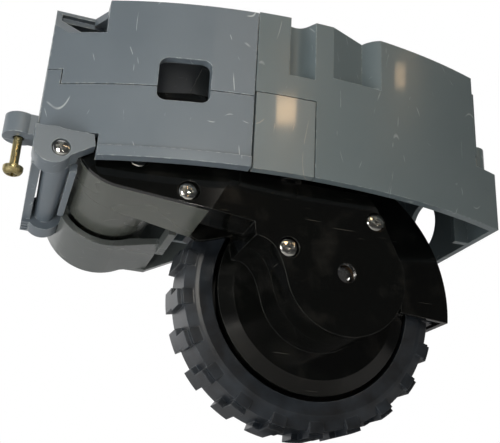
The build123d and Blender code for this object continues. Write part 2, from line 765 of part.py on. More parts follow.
# WHEEL WELL: right part of the housing, with the arch over the raised wheel
hatch_x = (-26.6, -11.7)
hatch_top_z = 40.4
hatch_gap = 0.25
well_left_x = raised_axle[0] - arch_outer_r
arch_front_y = -4.2
arm_clear_y = 1.0
well_outer_y = well_back_y + well_wall
right_in_x = right_low_x - well_wall
right_boss = (41.5, -13.9)
right_boss_r = 3.1
right_seat_z = 44.3
ledge_z = 35.4
end_rib_x = 39.6
end_rib_z = (40.0, 59.6)
opening_y = 18.9
opening_z = 33.6
rear_boss = (5.0, 35.0)
rear_seat_z = 49.4
pocket_x = 39.9
channel_low_z = 46.7
scoop_low_z = 48.4
recess_wall = 1.6


def well_outline(r, x_left, x_right, low=rim_z):
    """Front view of the well: round over the raised wheel, straight down to the rim."""
    with BuildSketch() as shape:
        with Locations(raised_axle):
            Circle(r)
        add(box_outline(x_left, x_right, low, raised_axle[1]))
        add(box_outline(x_left, x_right, low, 100), mode=Mode.INTERSECT)
    return shape.sketch


def channel_outline(grow=0.0):
    """Plan of the round-sided channel in the wall beside the seam."""
    with BuildSketch() as shape:
        with BuildLine():
            Line((-18.7 - grow, -32.0), (-18.7 - grow, -24.6 + grow))
            Spline(
                (-18.7 - grow, -24.6 + grow),
                (-16.9, -23.8 + grow),
                (-14.6 + grow * 0.3, -24.2 + grow),
                (-12.9 + grow * 0.8, -26.2 + grow * 0.6),
                (-11.8 + grow, -28.0),
            )
            Line((-11.8 + grow, -28.0), (-11.8 + grow, -32.0))
            Line((-11.8 + grow, -32.0), (-18.7 - grow, -32.0))
        make_face()
    return shape.sketch


def scoop_outline(grow=0.0):
    """Plan of the slanted hollow in the wall: a flat that runs inboard and a bulge back out."""
    with BuildSketch() as shape:
        with BuildLine():
            Polyline(
                (8.6 + grow, -27.4),
                (8.6 + grow, -32.0),
                (-9.0 - grow, -32.0),
                (-9.0 - grow, -28.6 + grow),
            )
            Line((-9.0 - grow, -28.6 + grow), (2.8, -23.5 + grow))
            Spline(
                (2.8, -23.5 + grow),
                (4.0 + grow * 0.5, -25.2 + grow),
                (5.6 + grow, -26.6 + grow * 0.6),
                (8.6 + grow, -27.4),
            )
        make_face()
    return shape.sketch


with BuildPart() as wall_recess:
    block(channel_outline(recess_wall), channel_low_z - recess_wall, top_z)
    block(scoop_outline(recess_wall), scoop_low_z - recess_wall, top_z)
    recess_plan = floor_plan(seam_x + seam_gap, right_top_x - recess_wall, -15.0)
    block(recess_plan, channel_low_z - 2, top_z, Mode.INTERSECT)

with BuildPart() as wheel_well:
    block(arc_wall(wall_r, wall_face_r, seam_x + seam_gap / 2, right_top_x), rim_z, top_z)
    block(arc_wall(wall_r, wall_face_r, right_top_x - 1, right_low_x), rim_z, right_step_z)
    block(floor_plan(seam_x + seam_gap / 2, right_top_x, well_outer_y), top_z - roof_thick, top_z)
    block(box_outline(well_left_x, seam_x + 1.0, arm_clear_y, well_outer_y), top_z - roof_thick, top_z)
    add(wall_recess.part)
    block(channel_outline(), channel_low_z, top_z + 1.0, Mode.SUBTRACT)
    block(scoop_outline(), scoop_low_z, top_z + 1.0, Mode.SUBTRACT)
    slab(well_outline(arch_outer_r, well_left_x, right_low_x), arch_front_y - well_wall, well_outer_y)
    arm_room = box_outline(-60, right_low_x, 0, top_z - roof_thick)
    slab(arm_room, arch_front_y - well_wall, arm_clear_y, Mode.SUBTRACT)
    slab(well_outline(arch_r, well_left_x + 1.8, right_in_x, 0), arch_front_y, well_back_y, Mode.SUBTRACT)
    block(floor_plan(right_top_x - 1.6, right_low_x, arch_front_y), ledge_z, right_step_z)
    block(floor_plan(right_in_x, right_low_x, arm_clear_y + 1.0), rim_z, right_step_z)
    block(floor_plan(right_top_x - 1.6, right_top_x, arch_front_y), right_step_z, top_z)
    slab(box_outline(pocket_x, right_low_x, rim_z, right_step_z), arch_front_y - well_wall, arch_front_y)
    with BuildSketch(plan(right_step_z - 0.5)) as boss_plan:
        with Locations(right_boss):
            Circle(right_boss_r)
    extrude(boss_plan.sketch, amount=right_seat_z - right_step_z + 0.5)
    block(floor_plan(right_top_x - well_wall, end_rib_x, -18.4), *end_rib_z)
    rear_web = box_outline(rear_boss[0] - 3.0, rear_boss[0] + 3.0, well_back_y, rear_boss[1])
    block(rear_web, rear_seat_z - boss_height, rear_seat_z)
    with BuildSketch(plan(rear_seat_z - boss_height)) as rear_plan:
        with Locations(rear_boss):
            Circle(boss_r)
    extrude(rear_plan.sketch, amount=boss_height)
    with BuildSketch(plan(rim_z)) as hole_plan:
        with Locations(right_boss, rear_boss):
            Circle(captive_hole_r)
    extrude(hole_plan.sketch, amount=60.0, mode=Mode.SUBTRACT)
    with BuildSketch(across(right_in_x - 1.0)) as opening:
        with Locations((opening_y, opening_z)):
            Ellipse(8.0, 7.8)
    extrude(opening.sketch, amount=4.0, mode=Mode.SUBTRACT)
    hatch_space = arc_wall(wall_r - 1, wall_face_r + 1, seam_x, hatch_x[1] + hatch_gap)
    block(hatch_space, rim_z, hatch_top_z + hatch_gap, Mode.SUBTRACT)
save(wheel_well.part, "wheel_well")

# SIDE HATCH: removable panel of the wall beside the seam
with BuildPart() as side_hatch:
    block(arc_wall(wall_r, wall_face_r, *hatch_x), rim_z, hatch_top_z)
    block(arc_wall(wall_r - 1.4, wall_r, hatch_x[0] + 2, hatch_x[1] + 2), hatch_top_z - 6, hatch_top_z + 3)
save(side_hatch.part, "side_hatch")

# MOTOR BAY COVER: lower left part of the wall, clipped behind the frame's wall
notch_x = -71.8
notch_top_z = 43.4
ring_back_y = -16.7
panel_top_z = seam_z - seam_gap
ear_top_z = 25.5
ear_right_x = -62.6
window_x = (-50.0, -37.6)
window_z = (35.5, 47.3)
rim_band_z = 22.7
with BuildPart() as window_cut:
    with BuildSketch(side(0)) as window:
        with Locations(((window_x[0] + window_x[1]) / 2, (window_z[0] + window_z[1]) / 2)):
            RectangleRounded(window_x[1] - window_x[0], window_z[1] - window_z[0], 2.2)
    extrude(window.sketch, amount=30.0)

with BuildPart() as motor_bay_cover:
    block(arc_wall(wall_r, wall_face_r, left_x, seam_x - seam_gap / 2), rim_z, panel_top_z)
    notch_tab = arc_wall(wall_r, wall_face_r, left_x, notch_x - seam_gap)
    block(notch_tab, panel_top_z - 0.5, notch_top_z - seam_gap)
    rim_band = arc_wall(wall_face_r - 0.5, wall_face_r + 0.5, ear_right_x, seam_x - seam_gap / 2)
    block(rim_band, rim_z, rim_band_z)
    block(arc_wall(wall_r - 1.6, wall_r, -58.0, -53.0), panel_top_z - 5, panel_top_z + 4)
    block(arc_wall(wall_r - 1.6, wall_r, -34.0, -30.0), panel_top_z - 5, panel_top_z + 4)
    slab(box_outline(-80, ear_right_x + 0.9, 0, ear_top_z + 0.3), -30, 20, Mode.SUBTRACT)
    slab(round_outline(5.5, pivot), -19.0, ring_back_y)
    slab(round_outline(shaft_r + running_gap, pivot), stub_tip_y - 0.3, ring_back_y, Mode.SUBTRACT)
    add(window_cut.part, mode=Mode.SUBTRACT)
save(motor_bay_cover.part, "motor_bay_cover")

# MOTOR BAY FRAME: upper left wall, roof, left wall, pivot ring, ear, column and fixing boss
bay_top_z = 63.3
bay_left_x = -75.4
bay_right_x = well_left_x - 0.2
left_wall_y = -9.1
front_boss = (-79.3, -8.9)
front_seat_z = 30.2
ear_front_y = -17.4
ear_back_y = -11.0
column = (-69.7, 21.0)
column_end_y = 26.0
column_front_r = 3.5
column_rear_r = 2.8
hook_z = 57.6
spring_x = -68.6
back_wall_y = 44.5
plate_top_z = 53.0
corner_cut_x = -63.0
corner_cut_z = 53.8
corner_back_y = -7.8
screw_plate_spots = ((-62.0, 50.0), (-43.0, 50.0))
ear_screw = (-69.6, 20.7)
corner_cut = [
    (-30, corner_cut_z),
    (-13.4, corner_cut_z),
    (corner_back_y, bay_top_z - 0.9),
    (corner_back_y, 80),
    (-30, 80),
]
front_strap = [
    (front_boss[0], front_boss[1] - 3.2),
    (left_x - 0.2, front_boss[1] - 3.2),
    (left_x - 0.2, left_wall_y),
    (bay_left_x + 1.0, left_wall_y),
    (bay_left_x + 1.0, front_boss[1] + 3.0),
    (front_boss[0], front_boss[1] + 3.0),
]
with BuildPart() as motor_bay_frame:
    block(arc_wall(wall_r, wall_face_r, left_x, seam_x - seam_gap / 2), seam_z, bay_top_z)
    block(floor_plan(left_x, seam_x - seam_gap / 2, arm_clear_y - 0.5), bay_top_z - roof_thick, bay_top_z)
    block(floor_plan(left_x, bay_right_x, bay_back_y), bay_top_z - roof_thick, bay_top_z)
    slab(box_outline(left_x, bay_right_x, plate_top_z - 6.1, bay_top_z), back_wall_y, bay_back_y)
    bar(box_outline(left_wall_y, 28.0, rim_z, bay_top_z), bay_left_x, bay_left_x + 1.5)
    bar(box_outline(-11.5, left_wall_y + 0.5, notch_top_z, bay_top_z), bay_left_x, bay_left_x + 1.5)
    block(arc_wall(wall_r - 1, wall_face_r + 1, left_x - 1, notch_x), seam_z - 1, notch_top_z, Mode.SUBTRACT)
    bar(box_outline(27.0, bay_back_y, 44.0, bay_top_z), bay_left_x, bay_left_x + 1.5)
    with BuildSketch(side(column_end_y)) as column_foot:
        add(round_outline(column_rear_r, column))
    with BuildSketch(side(ear_back_y - 0.5)) as column_head:
        add(round_outline(column_front_r, column))
    loft([column_foot.sketch, column_head.sketch])
    slab(box_outline(bay_left_x, bay_left_x + 2.2, rim_z - 1.6, rim_z + 2.0), ear_back_y, column_end_y)
    slab(box_outline(-66.6, -65.0, 18.0, 20.2), ear_back_y, cradle_front_y)
    with BuildSketch(side(ear_back_y)) as ear:
        with BuildLine():
            Polyline(
                (-76.0, ear_top_z),
                (ear_right_x, ear_top_z),
                (ear_right_x + 0.6, 22.6),
                (-67.2, 19.2),
                (-75.4, 19.2),
                close=True,
            )
        make_face()
        with Locations((-71.3, 21.2)):
            Circle(4.6)
    extrude(ear.sketch, amount=ear_back_y - ear_front_y)
    slab(round_outline(cradle_r, pivot), ear_front_y + 3.6, column_end_y, Mode.SUBTRACT)
    slab(round_outline(5.0, column), column_end_y, 33.0)
    slab(box_outline(bay_left_x, column[0], rim_z - 2.6, rim_z + 2.0), column_end_y, 33.0)
    for slot_y in (27.2, 29.2, 31.2):
        slab(box_outline(-77.0, -73.4, rim_z - 3.0, rim_z + 0.6), slot_y, slot_y + 1.0, Mode.SUBTRACT)
    slab(round_outline(2.6, column), column_end_y + 1.5, 33.0, Mode.SUBTRACT)
    slab(round_outline(2.15, ear_screw), ear_front_y - 1, ear_front_y + 2.0, Mode.SUBTRACT)
    slab(round_outline(screw_hole_r, ear_screw), ear_front_y, -4.0, Mode.SUBTRACT)
    block(polygon_outline(front_strap), front_seat_z - boss_height, front_seat_z)
    with BuildSketch(plan(front_seat_z - boss_height)) as front_plan:
        with Locations(front_boss):
            Circle(boss_r)
    extrude(front_plan.sketch, amount=boss_height)
    with BuildSketch(plan(front_seat_z - boss_height)) as front_hole:
        with Locations(front_boss):
            Circle(captive_hole_r)
    extrude(front_hole.sketch, amount=boss_height, mode=Mode.SUBTRACT)
    hook_plate = box_outline(spring_x - 2.5, spring_x + 2.5, hook_z - 2.0, bay_top_z - 1.0)
    slab(hook_plate, spring_y - 1.0, spring_y + 1.0)
    slab(round_outline(0.9, (spring_x, hook_z)), spring_y - 1.0, spring_y + 1.0, Mode.SUBTRACT)
    bar(polygon_outline(corner_cut), -80, corner_cut_x, Mode.SUBTRACT)
    roof_low_z = bay_top_z - roof_thick
    under_roof = box_outline(corner_back_y - 1, corner_back_y + 1.5, roof_low_z - 1, bay_top_z - 0.9)
    bar(under_roof, bay_left_x + 1.5, corner_cut_x, Mode.SUBTRACT)
    corner_web = [(corner_cut_x - 2.6, corner_back_y), (corner_cut_x, corner_back_y), (corner_cut_x, -12.4)]
    block(polygon_outline(corner_web), bay_top_z - roof_thick, bay_top_z)
    for spot in screw_plate_spots:
        slab(round_outline(screw_hole_r + 0.1, spot), back_wall_y, bay_back_y, Mode.SUBTRACT)
    add(window_cut.part, mode=Mode.SUBTRACT)
save(motor_bay_frame.part, "motor_bay_frame")

# MOTOR CRADLE: trough under the barrel with the rear bearing plate
cradle_outer_r = cradle_r + cradle_wall
cradle_back_y = 42.0
end_plate = [(pivot_x, 14.0), (-37.6, 14.0), (-23.0, 21.5), (-23.0, 33.0), (-27.0, 37.0), (pivot_x, 37.0)]
with BuildPart() as motor_cradle:
    with BuildSketch(side(cradle_back_y)) as trough:
        add(sector_outline(cradle_r, cradle_outer_r, 240.0, 96.0, pivot))
        with BuildLine():
            Polyline(
                (pivot_x, pivot_z - cradle_outer_r),
                (pivot_x + 3, pivot_z - cradle_outer_r + 0.2),
                (-37.6, 14.6),
                (-37.6, 16.1),
                (pivot_x + 6, pivot_z - cradle_r + 1.4),
                (pivot_x, pivot_z - cradle_r),
                close=True,
            )
        make_face()
        add(round_outline(cradle_r, pivot), mode=Mode.SUBTRACT)
    extrude(trough.sketch, amount=cradle_back_y - cradle_front_y)
    slab(round_outline(cradle_outer_r, pivot), cradle_back_y, back_wall_y)
    slab(box_outline(-68.0, -37.6, pivot_z, plate_top_z), cradle_back_y, back_wall_y)
    slab(polygon_outline(end_plate), cradle_back_y, back_wall_y)
    slab(round_outline(trunnion_r + 0.06, pivot), cradle_back_y, back_wall_y, Mode.SUBTRACT)
    for spot in screw_plate_spots:
        slab(round_outline(screw_hole_r, spot), cradle_back_y, back_wall_y, Mode.SUBTRACT)
    slab(box_outline(-38.6, -36.6, 12.4, 15.6), 5.0, cradle_front_y + 3.0)
    slab(round_outline(5.2, column), cradle_front_y, 33.2, Mode.SUBTRACT)
save(motor_cradle.part, "motor_cradle")

# FRAME SCREWS: one in the ear, two through the back wall
with BuildPart() as frame_screws:
    slab(round_outline(2.0, ear_screw), ear_front_y + 0.4, ear_front_y + 2.0)
    slab(round_outline(screw_hole_r, ear_screw), ear_front_y + 2.0, -4.0)
    slab(cross_outline(2.4, 0.7, ear_screw), ear_front_y, ear_front_y + 1.2, Mode.SUBTRACT)
    for spot in screw_plate_spots:
        slab(round_outline(2.2, spot), bay_back_y, bay_back_y + 1.6)
        slab(round_outline(screw_hole_r, spot), cradle_back_y, bay_back_y)
        slab(cross_outline(2.4, 0.7, spot), bay_back_y + 0.8, bay_back_y + 2, Mode.SUBTRACT)
save(frame_screws.part, "frame_screws")

# CAPTIVE SCREWS: yellow-passivated pan heads, free to slide in the three fixing bosses
captive_head_r = 2.35
captive_head_high = 1.9


def captive_screw(centre, tip_z):
    """Screw standing in a fixing boss, head down: a domed head with a cross recess and a plain thread."""
    low_z = tip_z - captive_long - captive_head_high
    foot = (axle_x + centre[0], axle_y + centre[1], axle_z)
    with BuildSketch(Plane(foot, x_dir=(1, 0, 0), z_dir=(0, -1, 0))) as half_head:
        with BuildLine():
            Polyline(
                (1.1, low_z),
                (0, low_z),
                (0, low_z + captive_head_high),
                (captive_head_r, low_z + captive_head_high),
                (captive_head_r, low_z + 1.2),
            )
            ThreePointArc((captive_head_r, low_z + 1.2), (1.95, low_z + 0.4), (1.1, low_z))
        make_face()
    revolve(half_head.sketch, axis=Axis(foot, (0, 0, 1)))
    with BuildSketch(plan(low_z + captive_head_high - 0.2)) as shank_face:
        with Locations(centre):
            Circle(captive_shank_r)
    extrude(shank_face.sketch, amount=captive_long + 0.2)
    with BuildSketch(plan(low_z)) as slot_face:
        with Locations(centre):
            Rectangle(2.4, 0.6)
            Rectangle(0.6, 2.4)
    extrude(slot_face.sketch, amount=1.0, mode=Mode.SUBTRACT)


with BuildPart() as captive_screw_front:
    captive_screw(front_boss, front_seat_z - captive_sunk)
save(captive_screw_front.part, "captive_screw_front")

with BuildPart() as captive_screw_right:
    captive_screw(right_boss, ledge_z - seam_gap + captive_long)
save(captive_screw_right.part, "captive_screw_right")

with BuildPart() as captive_screw_rear:
    captive_screw(rear_boss, rear_seat_z - captive_sunk)
save(captive_screw_rear.part, "captive_screw_rear")

# SUSPENSION SPRING: close-wound extension spring between the roof hook and the arm lug
spring_r = 3.0
wire_r = 0.45
coil_low_z = spring_lug[1] + 3.4
coil_top_z = hook_z - 3.4


def spring_eye(spot, coil_z):
    """End loop of the spring: a cross wire through the eye and two legs to the coil."""
    low_z = min(spot[1] - wire_r, coil_z)
    top_z = max(spot[1] + wire_r, coil_z)
    slab(round_outline(wire_r, spot), spring_y - spring_r + 0.2, spring_y + spring_r - 0.2)
    for leg_y in (spring_y - spring_r + 0.2, spring_y + spring_r - 1.1):
        slab(box_outline(spot[0] - wire_r, spot[0] + wire_r, low_z, top_z), leg_y, leg_y + 0.9)


with BuildPart() as suspension_spring:
    with BuildSketch(plan(coil_low_z)) as coil:
        with Locations((spring_x, spring_y)):
            Circle(spring_r)
            Circle(spring_r - 2 * wire_r, mode=Mode.SUBTRACT)
    extrude(coil.sketch, amount=coil_top_z - coil_low_z)
    spring_eye((spring_lug[0], spring_lug[1] + 0.3), coil_low_z + 0.5)
    spring_eye((spring_x, hook_z - 0.3), coil_top_z - 0.5)
save(suspension_spring.part, "suspension_spring")

# WHEEL DROP SWITCH: case under the roof with a button that the arm releases
switch_x = (-60.0, -47.0)
switch_y = (22.0, 28.0)
switch_z = (51.5, bay_top_z - roof_thick)
button_x = -53.0
button_low_z = 50.0
with BuildPart() as drop_switch_case:
    block(box_outline(*switch_x, *switch_y), *switch_z)
    button_slot = box_outline(button_x - 1.5, button_x + 1.5, 23.8, 26.2)
    block(button_slot, switch_z[0], switch_z[0] + 3.0, Mode.SUBTRACT)
save(drop_switch_case.part, "drop_switch_case")

with BuildPart() as drop_switch_button:
    block(box_outline(button_x - 1.4, button_x + 1.4, 23.9, 26.1), button_low_z, switch_z[0] + 2.0)
save(drop_switch_button.part, "drop_switch_button")

# CONTACT BLOCK with six contacts on the inboard wall
contact_x = (-62.0, -42.0)
contact_z = (54.5, 60.5)
with BuildPart() as contact_block:
    slab(box_outline(*contact_x, *contact_z), bay_back_y, bay_back_y + 5.0)
    socket = box_outline(contact_x[0] + 1, contact_x[1] - 1, contact_z[0] + 1, contact_z[1] - 1)
    slab(socket, bay_back_y + 1.2, bay_back_y + 5.0, Mode.SUBTRACT)
save(contact_block.part, "contact_block")

with BuildPart() as contacts:
    for pin in range(6):
        pin_x = contact_x[0] + 2.5 + pin * 3.0
        slab(box_outline(pin_x - 0.4, pin_x + 0.4, 57.1, 57.9), bay_back_y + 1.2, bay_back_y + 4.4)
save(contacts.part, "contacts")
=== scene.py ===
import math

import bmesh
import bpy
from mathutils import Matrix, Vector


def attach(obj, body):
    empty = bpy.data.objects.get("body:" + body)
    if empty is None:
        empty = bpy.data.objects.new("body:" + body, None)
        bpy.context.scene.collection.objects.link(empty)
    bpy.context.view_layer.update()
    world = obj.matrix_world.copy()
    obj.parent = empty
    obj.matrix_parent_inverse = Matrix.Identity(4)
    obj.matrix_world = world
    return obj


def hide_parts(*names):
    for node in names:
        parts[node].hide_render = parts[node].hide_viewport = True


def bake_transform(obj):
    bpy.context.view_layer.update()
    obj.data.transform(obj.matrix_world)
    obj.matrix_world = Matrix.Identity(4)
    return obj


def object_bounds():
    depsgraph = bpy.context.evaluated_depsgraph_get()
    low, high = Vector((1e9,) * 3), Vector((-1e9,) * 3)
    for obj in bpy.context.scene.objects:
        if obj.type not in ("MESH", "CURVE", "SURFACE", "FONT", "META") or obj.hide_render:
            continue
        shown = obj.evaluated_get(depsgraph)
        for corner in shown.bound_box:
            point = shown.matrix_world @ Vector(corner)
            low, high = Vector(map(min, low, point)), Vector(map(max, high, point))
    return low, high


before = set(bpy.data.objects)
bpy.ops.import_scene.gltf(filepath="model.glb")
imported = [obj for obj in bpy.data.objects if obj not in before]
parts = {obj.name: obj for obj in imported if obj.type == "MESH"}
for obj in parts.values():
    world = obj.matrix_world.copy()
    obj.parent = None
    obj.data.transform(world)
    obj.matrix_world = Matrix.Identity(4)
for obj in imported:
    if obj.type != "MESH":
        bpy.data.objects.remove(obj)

solid_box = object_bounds()


# MOTOR BAY FRAME AND COVER, MOTOR CRADLE
# Left half of the housing: two wall mouldings and the trough under the motor.
# Injection-moulded ABS in blue-grey, screwed and clipped together round the pivot.


def tone(hex_code):
    """Linear colour of an sRGB hex value."""
    channels = [int(hex_code[i : i + 2], 16) / 255 for i in (1, 3, 5)]
    return [c / 12.92 if c <= 0.04045 else ((c + 0.055) / 1.055) ** 2.4 for c in channels] + [1.0]


def add_node(tree, kind, settings=None, links=None):
    """Adds a node, sets its sockets and properties, and links its inputs."""
    node = tree.nodes.new(kind)
    for name, value in (settings or {}).items():
        if isinstance(name, int) or name in node.inputs:
            node.inputs[name].default_value = value
        else:
            setattr(node, name, value)
    for name, source in (links or {}).items():
        tree.links.new(source, node.inputs[name])
    return node


def new_material(name):
    """Empty node material with its output, and the position of a point in metres."""
    material = bpy.data.materials.new(name)
    material.use_nodes = True
    tree = material.node_tree
    tree.nodes.clear()
    output = add_node(tree, "ShaderNodeOutputMaterial")
    place = add_node(tree, "ShaderNodeTexCoord").outputs["Object"]
    return material, tree, output, place


def noise(tree, place, scale, detail):
    """Noise pattern with so many cells to the metre."""
    settings = {"Scale": scale, "Detail": detail}
    return add_node(tree, "ShaderNodeTexNoise", settings, {"Vector": place}).outputs[0]


def laid(tree, place, rotation, scale):
    """Position turned and stretched, for a pattern that runs one way."""
    settings = {"Rotation": rotation, "Scale": scale}
    return add_node(tree, "ShaderNodeMapping", settings, {"Vector": place}).outputs[0]


def spread(tree, source, given, wanted):
    """Value carried from the given range to the wanted one, and cut off at its ends."""
    settings = dict(zip(("From Min", "From Max", "To Min", "To Max"), given + wanted))
    return add_node(tree, "ShaderNodeMapRange", settings, {"Value": source}).outputs[0]


def joined(tree, operation, first, second):
    """Two values multiplied, or the larger of them."""
    return add_node(tree, "ShaderNodeMath", {"operation": operation}, {0: first, 1: second}).outputs[0]


def mixed(tree, share, first, second):
    """Colour that goes from the first to the second with share; each is a hex value or an output."""
    settings, links = {"data_type": "RGBA"}, {0: share}
    for socket, colour in ((6, first), (7, second)):
        if isinstance(colour, str):
            settings[socket] = tone(colour)
        else:
            links[socket] = colour
    return add_node(tree, "ShaderNodeMix", settings, links).outputs[2]


def rounded(tree, radius):
    """Normal that rounds every sharp edge to a radius in metres."""
    return add_node(tree, "ShaderNodeBevel", {"samples": 4, "Radius": radius}).outputs[0]


def relief(tree, height, edge, strength, depth):
    """Normal with the bumps of a pattern, of a depth in metres, on the rounded edges."""
    settings = {"Strength": strength, "Distance": depth}
    return add_node(tree, "ShaderNodeBump", settings, {"Height": height, "Normal": edge}).outputs[0]


def surface(tree, output, settings, links):
    """Principled shader on the material's output."""
    shader = add_node(tree, "ShaderNodeBsdfPrincipled", settings, links)
    tree.links.new(shader.outputs[0], output.inputs[0])


def edge_wear_and_glint(tree, place, edge, most):
    """Strength of the pale edges, partly wear and partly painted highlight, where the rounded normal leaves
    the flat one, chipped at 1.4 mm.
    """
    flat = add_node(tree, "ShaderNodeNewGeometry").outputs["Normal"]
    lean = add_node(tree, "ShaderNodeVectorMath", {"operation": "DOT_PRODUCT"}, {0: edge, 1: flat})
    rim = spread(tree, lean.outputs["Value"], (0.99, 0.90), (0.0, 1.0))
    chips = spread(tree, noise(tree, place, 700.0, 2.0), (0.44, 0.62), (0.15 * most, most))
    return joined(tree, "MULTIPLY", rim, chips)


# The third colour paints the scratches and the pale edges; on the edges it is partly wear and partly painted
# highlight.
def moulded_abs(name, base, shade, pale_wear_and_glint, roughness, coat=0.15):
    """Satin ABS from a spark-eroded mould.

    The grain breaks up the highlight, the flow of the melt leaves soft shades,
    and handling leaves fine pale scratches; the pale edges are partly wear and partly painted highlight.
    """
    material, tree, output, place = new_material(name)
    # Soft shades of the melt, about 18 mm long
    flow = noise(tree, place, 55.0, 2.0)
    shades = mixed(tree, flow, base, shade)
    # Scratches: thin level lines of a slow noise, about 0.15 mm wide, shown only in patches
    lines = []
    for turn, size, reach in ((0.4, 66.0, 0.0042), (-1.1, 105.0, 0.0050)):
        slow = laid(tree, place, (0.3, turn, 0.9 * turn), (size, size, size * 0.45))
        level = noise(tree, slow, 1.0, 0.0)
        off = add_node(tree, "ShaderNodeMath", {"operation": "SUBTRACT", 1: 0.5}, {0: level})
        near = add_node(tree, "ShaderNodeMath", {"operation": "ABSOLUTE"}, {0: off.outputs[0]})
        thin = spread(tree, near.outputs[0], (reach, reach * 0.4), (0.0, 1.0))
        shown = spread(tree, noise(tree, place, size * 2.2, 1.0), (0.60, 0.68), (0.0, 0.6))
        lines.append(joined(tree, "MULTIPLY", thin, shown))
    scratched = mixed(tree, joined(tree, "MAXIMUM", *lines), shades, pale_wear_and_glint)
    edge = rounded(tree, 0.0003)
    # Pale edges: partly rubbed wear, partly a painted highlight along every edge
    edged = mixed(tree, edge_wear_and_glint(tree, place, edge, 0.9), scratched, pale_wear_and_glint)
    # Mould grain of about 0.35 mm
    bump = relief(tree, noise(tree, place, 2800.0, 2.0), edge, 0.10, 0.0001)
    gloss = spread(tree, flow, (0.3, 0.7), (roughness - 0.06, roughness + 0.07))
    surface(
        tree,
        output,
        {"IOR": 1.53, "Coat Weight": coat, "Coat Roughness": 0.07},
        {"Base Color": edged, "Roughness": gloss, "Normal": bump},
    )
    return material


def dress(finish, *names):
    """Gives CAD nodes a finish in place of their plain colour."""
    for name in names:
        parts[name].data.materials.clear()
        parts[name].data.materials.append(finish)


# Mid blue-grey with a broad soft highlight, and pale edges that are partly rubbed wear and partly painted
# highlight
bay_abs = moulded_abs("satin_abs_blue_grey", "#656f77", "#6e7880", "#d0d6d6", 0.36)
dress(bay_abs, "motor_bay_frame", "motor_bay_cover")
# Darker and more neutral than the walls, as it lies in their shade
cradle_abs = moulded_abs("satin_abs_cradle", "#565a58", "#606563", "#9a9e9c", 0.30)
dress(cradle_abs, "motor_cradle")


# WHEEL WELL AND SIDE HATCH
# Right half of the housing with the arch over the wheel, and the panel beside the seam.
# The same ABS from other moulds; the two halves meet at the seam.

# Slate grey, a shade darker and greener than the left half
well_abs = moulded_abs("satin_abs_slate_grey", "#5f6b6f", "#667276", "#a8afae", 0.34)
dress(well_abs, "wheel_well")
# Shinier than its neighbours, so that it mirrors the warm bulb as a clear patch
hatch_abs = moulded_abs("satin_abs_hatch", "#697478", "#727c7f", "#a09c90", 0.36, 0.32)
dress(hatch_abs, "side_hatch")


# MOTOR HOUSING AND ITS CAP
# Tray behind the gearbox lid with the barrel round the motor, and the barrel's rear end.
# Moulded in grey ABS; the barrel turns in the cradle as the arm swings.

# A little warmer and shinier than the outer walls, because it is never touched
housing_abs = moulded_abs("satin_abs_warm_grey", "#4f524d", "#5a5d56", "#85877f", 0.26)
dress(housing_abs, "motor_housing", "motor_housing_cap")


# GEARBOX COVER AND BASE
# The lid over the gears and the floor with the round shield and the mudguard.
# Black ABS from a polished mould, held by four screws, with hairline scratches from use.
def polished_abs(name, base, roughness):
    """Black ABS from a polished mould: deep gloss with hairlines, a film of dust, and pale edges of wear and
    painted highlight.
    """
    material, tree, output, place = new_material(name)
    # Dust in clouds of about 7 mm, and sparse hairlines about 0.3 mm wide
    film = spread(tree, noise(tree, place, 140.0, 5.0), (0.52, 0.85), (0.0, 0.10))
    drawn = laid(tree, place, (0.2, 0.8, 0.1), (90.0, 90.0, 3600.0))
    hairline = spread(tree, noise(tree, drawn, 1.0, 1.0), (0.76, 0.80), (0.0, 0.35))
    wear = joined(tree, "MAXIMUM", film, hairline)
    dusty = mixed(tree, wear, base, "#6a6862")
    gloss = spread(tree, wear, (0.0, 0.35), (roughness, roughness + 0.25))
    edge = rounded(tree, 0.00025)
    # Pale grey edges: partly rubbed wear, partly a painted highlight
    edged = mixed(tree, edge_wear_and_glint(tree, place, edge, 0.22), dusty, "#8a8b86")
    # Faint waves of the moulded face, about 6 mm long
    bump = relief(tree, noise(tree, place, 160.0, 0.0), edge, 0.10, 0.0002)
    surface(tree, output, {"IOR": 1.46}, {"Base Color": edged, "Roughness": gloss, "Normal": bump})
    return material


# Nearly black, with sharp small highlights on the lid's facets
cover_abs = polished_abs("polished_black_abs", "#080908", 0.11)
dress(cover_abs, "gearbox_cover")
# The same black, slightly duller on the shield and the mudguard
base_abs = polished_abs("black_abs_floor", "#080908", 0.12)
dress(base_abs, "gearbox_base")


# MOTOR
# Can, magnets, armature, end cap, shaft and pinion, pushed into the barrel.
# Zinc-plated deep-drawn steel, sintered ferrite, laminated steel and a glass-filled end cap.
def plated_metal(name, base, dark, roughness, grain_mm, depth=0.00001):
    """Metal with a fine turned or drawn grain that stretches the highlight, and stains of about 4.5 mm."""
    material, tree, output, place = new_material(name)
    stain = noise(tree, place, 220.0, 3.0)
    coloured = mixed(tree, stain, base, dark)
    gloss = spread(tree, stain, (0.3, 0.7), (roughness - 0.05, roughness + 0.1))
    grain = noise(tree, place, 1000.0 / grain_mm, 3.0)
    bump = relief(tree, grain, rounded(tree, 0.00015), 0.8, depth)
    surface(tree, output, {"Metallic": 1.0}, {"Base Color": coloured, "Roughness": gloss, "Normal": bump})
    return material


def plain_moulding(name, base, shade, roughness, ior):
    """Unpainted moulding: even colour with shades of about 8 mm and a grain of 0.4 mm."""
    material, tree, output, place = new_material(name)
    coloured = mixed(tree, noise(tree, place, 120.0, 2.0), base, shade)
    bump = relief(tree, noise(tree, place, 2500.0, 1.0), rounded(tree, 0.0002), 0.08, 0.0001)
    surface(tree, output, {"IOR": ior, "Roughness": roughness}, {"Base Color": coloured, "Normal": bump})
    return material


# Cool mid grey with a soft sheen
drawn_steel = plated_metal("zinc_plated_steel", "#b9bcc0", "#96999c", 0.32, 0.3)
dress(drawn_steel, "motor_can", "motor_armature")
